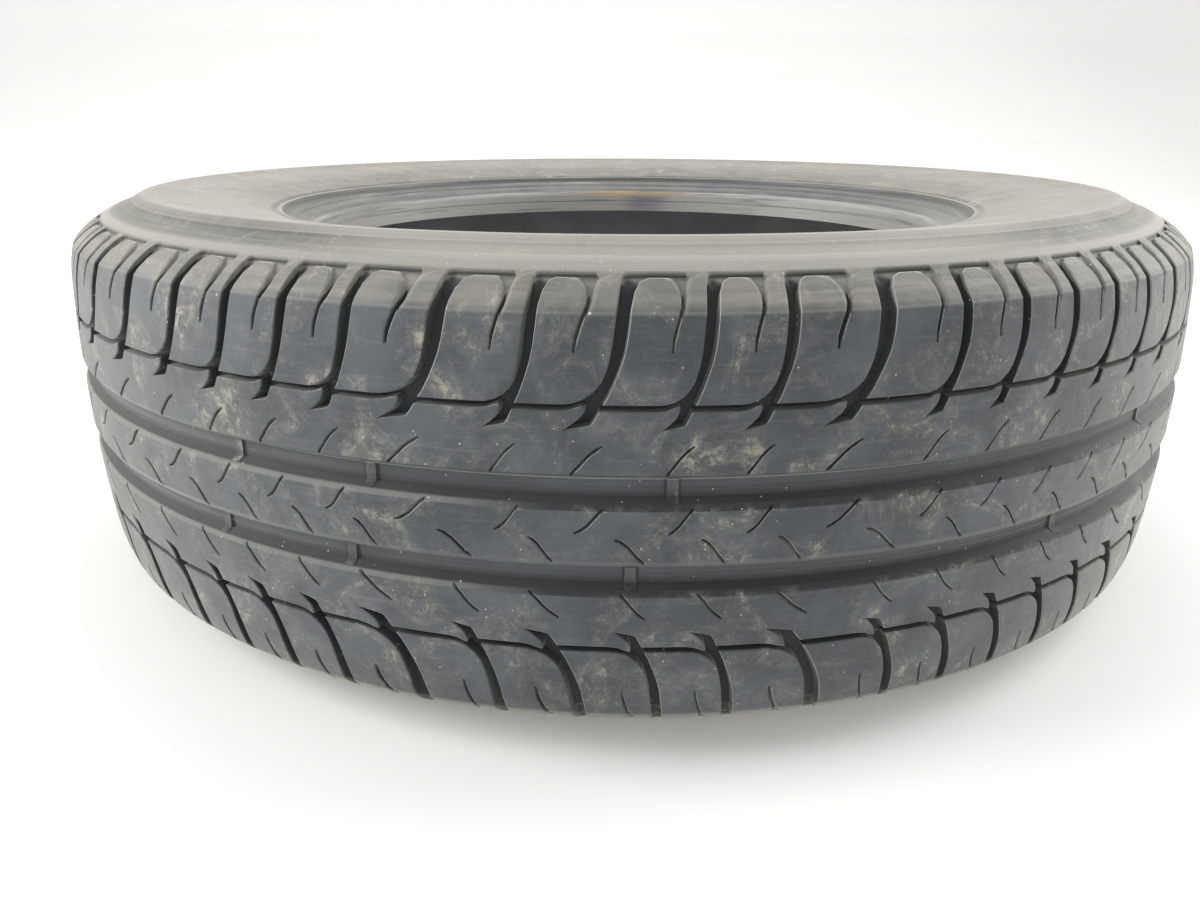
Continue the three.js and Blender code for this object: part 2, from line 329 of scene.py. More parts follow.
def distance_to_lines(places, starts, ends):
    """How far each place lies from the nearest of the stretches."""
    best = np.full(len(places), 1e9)
    for start, end in zip(starts, ends):
        along = end - start
        share = np.clip((places - start) @ along / max(along @ along, 1e-9), 0, 1)
        gap = np.linalg.norm(places - start - share[:, None] * along, axis=1)
        best = np.minimum(best, gap)
    return best


def inside_outline(places, starts, ends):
    """Which places lie inside a closed outline, by how many of its sides lie to their right."""
    inside = np.zeros(len(places), bool)
    x, y = places[:, 0], places[:, 1]
    for (ax, ay), (bx, by) in zip(starts, ends):
        if ay == by:
            continue
        crosses = (ay > y) != (by > y)
        inside ^= crosses & (x < ax + (y - ay) * (bx - ax) / (by - ay))
    return inside


def cross_groove(shift):
    """A pointed tail in the rib, a curved groove round the block's corner and the shoulder line."""
    upper_wall = [(-6, 47.0), (-3, 47.0), (1.2, 47.15), (4.6, 47.9), (7.4, 49.3), (9.9, 51.2),
                  (12.2, 54)]
    block_side = [(12.2, 54), (14.1, 58.8), (15.3, 64), (16.1, 70), (16.9, 76.6), (17.6, 82),
                  (18.1, 85)]
    top_bend = [(18.1, 85), (19.3, 87.2), (21.5, 87.75)]
    line_top = [(21.5, 87.75), (43.2, 87.75)]
    line_end = [(43.2, 87.75), (44.3, 87.1), (43.2, 86.45)]
    line_bottom = [(43.2, 86.45), (28.0, 86.45)]
    right_wall = [(28.0, 86.45), (25.2, 85.4), (23.4, 82.8), (22.4, 79), (21.9, 74), (21.2, 68.7),
                  (20.2, 63.5), (18.5, 58.3), (16.7, 53.8), (14.8, 49.6), (13.2, 47.0), (12.4, 45.3),
                  (11, 42.9), (9.9, 41.0), (8.9, 39.9)]
    heel = [(8.9, 39.9), (6.6, 39.4), (0, 38.3)]
    tail = [(0, 38.3), (3.0, 40.4), (5.6, 42.6), (6.7, 44.5), (7.0, 46.3)]
    rib_corner = [(7.0, 46.3), (6.5, 46.65), (4.5, 46.0), (1.9, 45.1), (-2, 44.65), (-3, 44.6)]
    rib_edge = [(-3, 44.6), (-6, 44.6)]
    outline = joined(
        smooth_line(upper_wall[:2], 3), smooth_line(upper_wall[1:], 2.6), smooth_line(block_side, 3.4),
        smooth_line(top_bend, 1.4), straight_line(*line_top, 4.4), smooth_line(line_end, 1.0),
        straight_line(*line_bottom, 4.4), smooth_line(right_wall, 3.4), smooth_line(heel, 2.6),
        smooth_line(tail, 2.6), smooth_line(rib_corner, 2.6), straight_line(*rib_edge, 3),
    )

    def depth(places):
        return np.interp(places[:, 1], [82.0, 86.0], [GROOVE_DEPTH, SHOULDER_LINE_DEPTH])

    return Cut([point + shift for point in outline], depth)


def thin_groove(shift):
    """The straight stretch between two cross grooves of the thin groove that runs round the tyre."""
    corners = [Vector(corner) + shift for corner in ((12, 44.6), (30, 44.6), (30, 47.0), (12, 47.0))]
    sides = [straight_line(a, b, 4) for a, b in zip(corners, corners[1:] + corners[:1])]
    return Cut(joined(*sides), THIN_GROOVE_DEPTH)


def shoulder_channel(shift):
    """A shallow channel with soft walls that runs down from the shoulder line between two blocks."""
    left = [(0.8, 86.9), (3.9, 86.0), (5.8, 84.0), (6.6, 81.6), (6.7, 79), (6.0, 76.2)]
    right = [(7.4, 75.2), (8.8, 77.6), (9.8, 80.5), (10.4, 83.5), (11.6, 86), (13.8, 86.9)]
    outline = joined(smooth_line(left, 2.2), smooth_line(right, 2.2))
    outline = [point + shift for point in outline]
    return Cut(outline, SHOULDER_LINE_DEPTH, wall=1.1, lip=0.3, edge=0.9)


def slit_along(points, width=SLIT_WIDTH):
    """A maker of the slit through these points, which takes a shift as the makers above do."""

    def make(shift):
        return Slit([point + shift for point in smooth_line(points, 2.6)], width, SLIT_DEPTH)

    return make


SHOULDER_SLIT = [(7.9, 82), (7.6, 79.2), (6.3, 75.6), (5.0, 72), (4.0, 68.6), (3.5, 65)]
RIB_SLIT = [(2.3, 22.5), (3.6, 24.0), (5.4, 25.9), (7.4, 28.3), (9.4, 30.2), (11.4, 31.7), (12.9, 32.7)]
CENTRE_SLIT = [(3.8, 1.2), (5.5, 1.9), (8, 3.9), (10, 6.3), (12, 8.7), (13.6, 10.3)]
shoulder_slit = slit_along(SHOULDER_SLIT, SHOULDER_SLIT_WIDTH)
rib_slit = slit_along(RIB_SLIT)
upper_centre_slit = slit_along(CENTRE_SLIT)
lower_centre_slit = slit_along([(x + LOWER_CENTRE_SLIT_SHIFT, y) for x, y in CENTRE_SLIT])

# Wide groove beside the centre rib: half widths and depths across it, with a fine ridge on its floor
MAIN_GROOVE = [
    (9.3, 0), (9.9, 0.2), (12.0, 1.3), (13.5, 4.6), (16.0, 4.7), (16.6, 4.45),
    (17.2, 4.7), (19.8, 4.6), (21.4, 1.3), (23.0, 0.25), (24.0, 0),
]
GROOVE_FLOOR = max(sunk for _, sunk in MAIN_GROOVE)
CROWN_ROWS = [
    0.0, *(place for place, _ in MAIN_GROOVE), CAP_HALF_WIDTH, WEAR_EDGE_HALF_WIDTH, TREAD_EDGE,
]


def pattern_cuts(centre_slit):
    """Every cut that touches the drawn pitch, its own and its neighbours'."""
    cuts = []
    for maker in (cross_groove, thin_groove, shoulder_channel, shoulder_slit, rib_slit, centre_slit):
        for along in (-DRAWN_PITCH, 0, DRAWN_PITCH):
            cuts.append(maker(Vector((along, 0))))
    return cuts


def clipped(line, low, high):
    """The stretches of a line that lie between two places along the ring."""
    pieces, current = [], []
    for a, b in zip(line, line[1:]):
        if max(a.x, b.x) < low or min(a.x, b.x) > high:
            continue
        ends = []
        for point, other in ((a, b), (b, a)):
            limit = min(max(point.x, low), high)
            if abs(other.x - point.x) > 1e-9 and limit != point.x:
                point = point.lerp(other, (limit - point.x) / (other.x - point.x))
            ends.append(point)
        if current and (current[-1] - ends[0]).length < 1e-6:
            current.append(ends[1])
        else:
            current = ends
            pieces.append(current)
    return pieces


def staggered_rows(lowest, highest, spacing):
    """Places that fill the drawing between two half widths, every other row moved half a step."""
    places = []
    for number, row in enumerate(np.arange(lowest, highest - 1, spacing)):
        stagger = 0.5 * (number % 2)
        for i in range(int(DRAWN_PITCH // spacing)):
            places.append((SEAM + (i + 0.25 + stagger) * spacing, row))
    return places


def flat_tread(centre_slit):
    """Places and triangles of one pitch of the tread, drawn flat, with each place's depth and rim."""
    low, high = SEAM, SEAM + DRAWN_PITCH
    columns = [low + DRAWN_PITCH * i / COLUMNS for i in range(COLUMNS + 1)]
    cuts = pattern_cuts(centre_slit)
    lines = [[Vector((x, row)) for x in columns] for row in CROWN_ROWS]
    for cut in cuts:
        for line in cut.lines:
            lines.extend(clipped(line, low, high))
    drawn_points = [point for line in lines for point in line]
    at_seam = [p.y for p in drawn_points if min(abs(p.x - low), abs(p.x - high)) < ON_SEAM]
    seam_rows = {round(y, 3) for y in at_seam} | ROWS_DOWN_THE_SEAM
    for x in (low, high):
        lines.append([Vector((x, row)) for row in sorted(seam_rows)])

    places, edges = [], []
    for line in lines:
        first = len(places)
        places.extend(line)
        edges.extend((i, i + 1) for i in range(first, len(places) - 1))
    drawn = np.array([place[:] for place in places])
    starts, ends = drawn[[a for a, _ in edges]], drawn[[b for _, b in edges]]
    filler = np.array(
        staggered_rows(3.0, WEAR_EDGE_HALF_WIDTH, FILLER_SPACING)
        + staggered_rows(WEAR_EDGE_HALF_WIDTH + 1.6, TREAD_EDGE, SHOULDER_SPACING)
    )
    clear = distance_to_lines(filler, starts, ends) > FILLER_CLEARANCE
    places.extend(Vector(place) for place in filler[clear])
    flat, _, faces, *_ = delaunay_2d_cdt(places, edges, [], 0, 1e-4)
    drawn = np.array([p[:] for p in flat])
    depth = cut_depth(drawn, cuts)
    return flat, faces, depth, lit_rims(drawn, cuts, depth)


def lit_rims(places, cuts, depth):
    """How far each place is on a rim with a painted highlight: on the lip of a wall that faces left or the
    shoulder, and not in the wide groove."""
    fall = [cut_depth(places - reach, cuts) - cut_depth(places + reach, cuts) for reach in RIM_REACHES]
    on_lip = np.clip((depth - RIM_BEGINS) / RIM_COMES_UP, 0, 1)
    on_lip *= np.clip(1 - (depth - EDGE_LIP) / RIM_FADES, 0, 1)
    on_lip *= wide_groove_depth(places) < WIDE_GROOVE_STARTS
    below_line = (places[:, 1] > WEAR_EDGE_HALF_WIDTH) * np.clip(-fall[1], 0, 1)
    return np.clip(np.maximum(fall[0] / BRIGHT_FALL, below_line), 0, 1) * on_lip


def wide_groove_depth(places):
    """Depth of the wide groove beside the centre rib alone."""
    return np.interp(places[:, 1], *zip(*MAIN_GROOVE))


def cut_depth(places, cuts):
    """How far each place is sunk by the deepest of the cuts there."""
    depth = wide_groove_depth(places)
    for cut in cuts:
        depth = np.maximum(depth, cut.depths(places))
    return depth


def pitch_mesh(centre_slit):
    """One pitch from the mid-plane over the shoulder to the liner: x along, y half width, z radius."""
    flat, faces, depth, rim = flat_tread(centre_slit)
    points, depths = [], []
    for place, sunk in zip(flat, depth):
        drop, normal = tread_point(place.y)
        half_width, radius = Vector((place.y, CROWN_RADIUS - drop)) - normal * sunk
        points.append((place.x, half_width, radius))
        depths.append(sunk)
    triangles = [tuple(face) for face in faces]
    zones = [TREAD_ZONE] * len(triangles)
    section, section_zones = side_section()
    first = len(points)
    for half_width, radius in section:
        for i in range(COLUMNS + 1):
            points.append((SEAM + DRAWN_PITCH * i / COLUMNS, half_width, radius))
            depths.append(0.0)
    across = COLUMNS + 1
    for row in range(len(section) - 1):
        for column in range(COLUMNS):
            a = first + row * across + column
            triangles.append((a, a + 1, a + across + 1, a + across))
            zones.append(section_zones[row])
    mesh = bpy.data.meshes.new("one_pitch")
    mesh.from_pydata([(x * MM, y * MM, z * MM) for x, y, z in points], [], triangles)
    rims = [*rim, *([0.0] * (len(points) - len(rim)))]
    for name, values in (("cut_depth", depths), ("bright_rim", rims)):
        mesh.attributes.new(name, "FLOAT", "POINT").data.foreach_set("value", values)
    mesh.attributes.new("zone", "INT", "FACE").data.foreach_set("value", zones)
    return mesh


def pitch_marks():
    """A vertex for each pitch, which says where its tail tip is and how much of the ring it takes."""
    shares = [PITCH_SHARES[size] for size in PITCH_ORDER]
    spans = [2 * math.pi * share / sum(shares) for share in shares]
    tips = [math.radians(FIRST_TIP_ANGLE) + sum(spans[:i]) for i in range(len(spans))]
    mesh = bpy.data.meshes.new("pitch_marks")
    mesh.from_pydata([(0, 0, 0)] * len(spans), [], [])
    values = {"tip": tips, "span": spans, "span_before": spans[-1:] + spans[:-1]}
    for name, numbers in values.items():
        mesh.attributes.new(name, "FLOAT", "POINT").data.foreach_set("value", numbers)
    return mesh


def add(tree, kind, *inputs, **settings):
    """Adds one node. Settings are its properties, and inputs are values or links, in order."""
    node = tree.nodes.new(kind)
    for name, value in settings.items():
        setattr(node, name, value)
    sockets = [socket for socket in node.inputs if socket.enabled]
    for socket, value in zip(sockets, inputs):
        if isinstance(value, bpy.types.NodeSocket):
            tree.links.new(value, socket)
        elif value is not None:
            socket.default_value = value
    return next((socket for socket in node.outputs if socket.enabled), node)


def new_object(name, data):
    """A new object in the scene, made of a mesh, a lamp or a camera."""
    made = bpy.data.objects.new(name, data)
    bpy.context.scene.collection.objects.link(made)
    return made


def ring_tree(materials):
    """Sets the drawn pitch at each mark, bends it round the axis and mirrors it below the mid-plane."""
    tree = bpy.data.node_groups.new("pitches_round_the_tyre", "GeometryNodeTree")
    face = tree.interface
    face.new_socket("Marks", in_out="INPUT", socket_type="NodeSocketGeometry")
    for name in ("Upper Pitch", "Lower Pitch"):
        face.new_socket(name, in_out="INPUT", socket_type="NodeSocketObject")
    for name in ("Drawn Pitch", "Mid Height", "Lower Lead", "Lead Starts At"):
        face.new_socket(name, in_out="INPUT", socket_type="NodeSocketFloat")
    face.new_socket("Rubber", in_out="OUTPUT", socket_type="NodeSocketGeometry")
    given = tree.nodes.new("NodeGroupInput")
    marks, upper, lower, drawn_pitch, mid_height, lower_lead, lead_start = given.outputs[:7]
    place = add(tree, "GeometryNodeInputPosition")
    axes = add(tree, "ShaderNodeSeparateXYZ", place).node
    along, half_width, radius = axes.outputs
    span = add(tree, "GeometryNodeInputNamedAttribute", "span", data_type="FLOAT")
    before = add(tree, "GeometryNodeInputNamedAttribute", "span_before", data_type="FLOAT")
    tip = add(tree, "GeometryNodeInputNamedAttribute", "tip", data_type="FLOAT")
    left_of_tip = add(tree, "FunctionNodeCompare", along, 0.0, data_type="FLOAT", operation="LESS_THAN")
    own_span = add(tree, "GeometryNodeSwitch", left_of_tip, span, before, input_type="FLOAT")
    share = add(tree, "ShaderNodeMath", along, drawn_pitch, operation="DIVIDE")
    angle = add(tree, "ShaderNodeMath", share, own_span, tip, operation="MULTIPLY_ADD")

    halves = []
    for pitch, side, lead in ((upper, 1.0, 0.0), (lower, -1.0, lower_lead)):
        shape = add(tree, "GeometryNodeObjectInfo", pitch).node.outputs["Geometry"]
        copies = add(tree, "GeometryNodeInstanceOnPoints", marks, None, shape)
        skin = add(tree, "GeometryNodeRealizeInstances", copies)
        past_rib = add(tree, "FunctionNodeCompare", half_width, lead_start, data_type="FLOAT",
                       operation="GREATER_THAN")
        led = add(tree, "ShaderNodeMath", past_rib, lead, angle, operation="MULTIPLY_ADD")
        sine = add(tree, "ShaderNodeMath", led, operation="SINE")
        cosine = add(tree, "ShaderNodeMath", led, operation="COSINE")
        x = add(tree, "ShaderNodeMath", sine, radius, operation="MULTIPLY")
        back = add(tree, "ShaderNodeMath", cosine, radius, operation="MULTIPLY")
        y = add(tree, "ShaderNodeMath", back, -1.0, operation="MULTIPLY")
        z = add(tree, "ShaderNodeMath", half_width, side, mid_height, operation="MULTIPLY_ADD")
        bent = add(tree, "ShaderNodeCombineXYZ", x, y, z)
        half = add(tree, "GeometryNodeSetPosition", skin, None, bent)
        if side < 0:
            half = add(tree, "GeometryNodeFlipFaces", half)
        halves.append(half)

    join = tree.nodes.new("GeometryNodeJoinGeometry")
    for half in halves:
        tree.links.new(half, join.inputs[0])
    whole = add(tree, "GeometryNodeMergeByDistance", join.outputs[0])
    whole.node.inputs["Distance"].default_value = WELD_WITHIN * MM
    angle_between = add(tree, "GeometryNodeInputMeshEdgeAngle")
    smooth = add(tree, "FunctionNodeCompare", angle_between, math.radians(SHARP_ANGLE), data_type="FLOAT",
                 operation="LESS_THAN")
    finished = add(tree, "GeometryNodeSetShadeSmooth", whole, None, smooth, domain="EDGE")
    finished = add(tree, "GeometryNodeRealizeInstances", finished)
    zone = add(tree, "GeometryNodeInputNamedAttribute", "zone", data_type="INT")
    for number, material in enumerate(materials):
        chosen = add(tree, "FunctionNodeCompare", zone, number, data_type="INT", operation="EQUAL")
        finished = add(tree, "GeometryNodeSetMaterial", finished, chosen, material)
    result = tree.nodes.new("NodeGroupOutput")
    tree.links.new(finished, result.inputs[0])
    return tree


def set_inputs(modifier, **values):
    """Gives a modifier's inputs their values, each by its socket's identifier. The argument mid_height
    stands for the input Mid Height."""
    sockets = {item.name: item.identifier for item in modifier.node_group.interface.items_tree
               if item.item_type == "SOCKET" and item.in_out == "INPUT"}
    for name, value in values.items():
        modifier[sockets[name.replace("_", " ").title()]] = value


def plain_mesh(name, source):
    """The mesh that an object's nodes make, on a new object of its own, and the source removed."""
    bpy.context.view_layer.update()
    evaluated = source.evaluated_get(bpy.context.evaluated_depsgraph_get())
    mesh = bpy.data.meshes.new_from_object(evaluated)
    mesh.name = name
    bpy.data.objects.remove(source)
    return new_object(name, mesh)


def rubber(*materials):
    """The tyre's one mesh, with the flat tops of the blocks kept flat by weighted normals."""
    upper = new_object("upper_pitch", pitch_mesh(upper_centre_slit))
    lower = new_object("lower_pitch", pitch_mesh(lower_centre_slit))
    ring = new_object("pitch_ring", pitch_marks())
    modifier = ring.modifiers.new("pitches", "NODES")
    modifier.node_group = ring_tree(materials)
    set_inputs(
        modifier, upper_pitch=upper, lower_pitch=lower,
        drawn_pitch=DRAWN_PITCH * MM, mid_height=MID_HEIGHT * MM,
        lower_lead=math.radians(LOWER_PATTERN_LEAD), lead_starts_at=LEAD_STARTS_AT * MM,
    )
    normals = ring.modifiers.new("flat_tops", "WEIGHTED_NORMAL")
    normals.keep_sharp = True
    tyre = plain_mesh("tyre_rubber", ring)
    for drawn in (upper, lower):
        bpy.data.objects.remove(drawn)
    return tyre


# Wear bars across the wide grooves, by their angles in the upper (1) and in the lower groove (-1)
WEAR_BAR_ANGLES = {
    1: (-32.8, -21.4, -1.4, 41.0, 82.0, 121.0, 158.0, 196.0, 237.0, 279.0),
    -1: (-35.3, -23.5, -4.0, 29.5, 78.0, 117.0, 154.0, 192.0, 233.0, 275.0),
}
WEAR_BAR_WIDTH, WEAR_BAR_HEIGHT, WEAR_BAR_SINK = 3.8, 0.7, 0.8
WEAR_BAR_FOOT = 1.1

# What the bars' feet give as their depth, so that the painted shade at their feet shows.
# No groove is as deep
WEAR_BAR_FOOT_SHADE = 9.0


def wear_bar_mesh():
    """One bar that follows the groove's section: x along the ring, y across it and z outward."""
    half = WEAR_BAR_WIDTH / 2
    points, foot_shade = [], []
    for place, sunk in MAIN_GROOVE[2:-2]:
        ground = GROOVE_FLOOR - sunk - tread_point(place)[0]
        right = [
            (half + WEAR_BAR_FOOT, ground - WEAR_BAR_SINK),
            (half + WEAR_BAR_FOOT, ground + 0.1),
            (half + 0.2, ground + 0.2),
            (half, max(ground + 0.35, WEAR_BAR_HEIGHT)),
        ]
        section = right + [(-x, z) for x, z in right[::-1]]
        points.extend((x * MM, place * MM, z * MM) for x, z in section)
        foot_shade.extend(0.0 if abs(x) == half else WEAR_BAR_FOOT_SHADE for x, _ in section)
    count, last = len(section), len(points)
    faces = [tuple(range(count)), tuple(range(last - 1, last - count - 1, -1))]
    for first in range(0, last - count, count):
        for i in range(count):
            a, b = first + i, first + (i + 1) % count
            faces.append((a, a + count, b + count, b))
    mesh = bpy.data.meshes.new("wear_bar")
    mesh.from_pydata(points, [], faces)
    mesh.attributes.new("cut_depth", "FLOAT", "POINT").data.foreach_set("value", foot_shade)
    return mesh


def wear_bar_marks():
    """A vertex on the groove floor for each bar, with the turn that stands it there."""
    floor_radius = CROWN_RADIUS - GROOVE_FLOOR
    marks, turns = [], []
    for side, angles in WEAR_BAR_ANGLES.items():
        for angle in np.radians(angles):
            x, y = floor_radius * math.sin(angle), -floor_radius * math.cos(angle)
            marks.append((x * MM, y * MM, MID_HEIGHT * MM))
            turned = Matrix.Rotation(angle, 3, "Z") @ Matrix(((side, 0, 0), (0, 0, -1), (0, side, 0)))
            turns.append(turned.to_euler()[:])
    mesh = bpy.data.meshes.new("wear_bar_marks")
    mesh.from_pydata(marks, [], [])
    mesh.attributes.new("turn", "FLOAT_VECTOR", "POINT").data.foreach_set("vector", np.ravel(turns))
    return mesh


def wear_bars(material):
    """The bars that show through when the tread is worn out, set in both wide grooves."""
    bars = new_object("wear_bar_marks", wear_bar_marks())
    one = new_object("wear_bar", wear_bar_mesh())
    tree = bpy.data.node_groups.new("bars_in_the_grooves", "GeometryNodeTree")
    tree.interface.new_socket("Marks", in_out="INPUT", socket_type="NodeSocketGeometry")
    tree.interface.new_socket("Bar", in_out="INPUT", socket_type="NodeSocketObject")
    tree.interface.new_socket("Bars", in_out="OUTPUT", socket_type="NodeSocketGeometry")
    marks, bar = tree.nodes.new("NodeGroupInput").outputs[:2]
    shape = add(tree, "GeometryNodeObjectInfo", bar).node.outputs["Geometry"]
    turn = add(tree, "GeometryNodeInputNamedAttribute", "turn", data_type="FLOAT_VECTOR")
    turned = add(tree, "FunctionNodeEulerToRotation", turn)
    copies = add(tree, "GeometryNodeInstanceOnPoints", marks, None, shape, None, None, turned)
    loose = add(tree, "GeometryNodeRealizeInstances", copies)
    finished = add(tree, "GeometryNodeSetMaterial", loose, None, material)
    result = tree.nodes.new("NodeGroupOutput")
    tree.links.new(finished, result.inputs[0])
    modifier = bars.modifiers.new("bars", "NODES")
    modifier.node_group = tree
    set_inputs(modifier, bar=one)
    made = plain_mesh("wear_bars", bars)
    bpy.data.objects.remove(one)
    return made


def colour(hex_code):
    """An sRGB hex colour as linear red, green, blue and a full alpha."""
    parts = [int(hex_code[i:i + 2], 16) / 255 for i in (1, 3, 5)]
    return (*(c / 12.92 if c <= 0.04045 else ((c + 0.055) / 1.055) ** 2.4 for c in parts), 1.0)


def new_material(name):
    """A material whose nodes are still to be added."""
    material = bpy.data.materials.new(name)
    material.use_nodes = True
    material.node_tree.nodes.clear()
    return material


def place_on_tyre(tree):
    """Nodes for a place on the tyre: the place itself, the direction from the axis, which wraps without
    a seam, and half width, radius and height over the mid-plane in millimetres."""
    place = add(tree, "ShaderNodeTexCoord").node.outputs["Object"]
    x, y, z = add(tree, "ShaderNodeSeparateXYZ", place).node.outputs
    level = add(tree, "ShaderNodeCombineXYZ", x, y, 0.0)
    radius = add(tree, "ShaderNodeVectorMath", level, operation="LENGTH").node.outputs["Value"]
    radius = add(tree, "ShaderNodeMath", radius, 1 / MM, operation="MULTIPLY")
    up = add(tree, "ShaderNodeMath", z, 1 / MM, -MID_HEIGHT, operation="MULTIPLY_ADD")
    half_width = add(tree, "ShaderNodeMath", up, operation="ABSOLUTE")
    around = add(tree, "ShaderNodeVectorMath", level, operation="NORMALIZE")
    return place, around, half_width, radius, up


def streaks(tree, around, across, length_mm, width_mm, detail):
    """Noise drawn out along the ring: streaks of about this length and width, without a seam."""
    turns = CROWN_RADIUS / length_mm
    ring = add(tree, "ShaderNodeVectorMath", around, (turns, turns, turns), operation="MULTIPLY")
    bands = add(tree, "ShaderNodeMath", across, 1 / width_mm, operation="MULTIPLY")
    return add(tree, "ShaderNodeTexNoise", ring, bands, 1.0, detail, 0.62, noise_dimensions="4D")


def shares(tree, strength, *steps):
    """The strength times a smooth step of each value, which goes up from its first place to its second."""
    for value, start, end in steps:
        step = add(tree, "ShaderNodeMapRange", value, start, end, interpolation_type="SMOOTHSTEP")
        strength = add(tree, "ShaderNodeMath", strength, step, operation="MULTIPLY")
    return strength


def coat(tree, tone, hex_code, strength, *steps):
    """A colour laid over a tone, as far as all the steps are up."""
    share = shares(tree, strength, *steps)
    return add(tree, "ShaderNodeMix", share, tone, colour(hex_code), data_type="RGBA")


def grit(tree, place, spacing_mm, size_mm, kept):
    """Round specks in some of the cells of a random net."""
    cells = add(tree, "ShaderNodeTexVoronoi", place, 1 / (spacing_mm * MM))
    chance = add(tree, "ShaderNodeSeparateColor", cells.node.outputs["Color"])
    there = add(tree, "ShaderNodeMath", chance, kept, operation="LESS_THAN")
    return shares(tree, there, (cells, 0.5 * size_mm / spacing_mm, 0.25 * size_mm / spacing_mm))


RUBBER_IOR = 1.52
DUST_SHEEN, DUST_SHEEN_ROUGHNESS, DUST_TINT = 0.8, 0.45, "#c9c6bd"


def finish_rubber(tree, tone, roughness, height, bump_mm):
    """A dielectric surface of this colour with a film of dust, and the height as relief."""
    shader = tree.nodes.new("ShaderNodeBsdfPrincipled")
    tree.links.new(tone, shader.inputs["Base Color"])
    tree.links.new(roughness, shader.inputs["Roughness"])
    shader.inputs["IOR"].default_value = RUBBER_IOR
    shader.inputs["Sheen Weight"].default_value = DUST_SHEEN
    shader.inputs["Sheen Roughness"].default_value = DUST_SHEEN_ROUGHNESS
    shader.inputs["Sheen Tint"].default_value = colour(DUST_TINT)
    relief = tree.nodes.new("ShaderNodeBump")
    relief.inputs["Strength"].default_value = 1.0
    relief.inputs["Distance"].default_value = bump_mm * MM
    tree.links.new(height, relief.inputs["Height"])
    tree.links.new(relief.outputs[0], shader.inputs["Normal"])
    out = tree.nodes.new("ShaderNodeOutputMaterial")
    tree.links.new(shader.outputs[0], out.inputs[0])


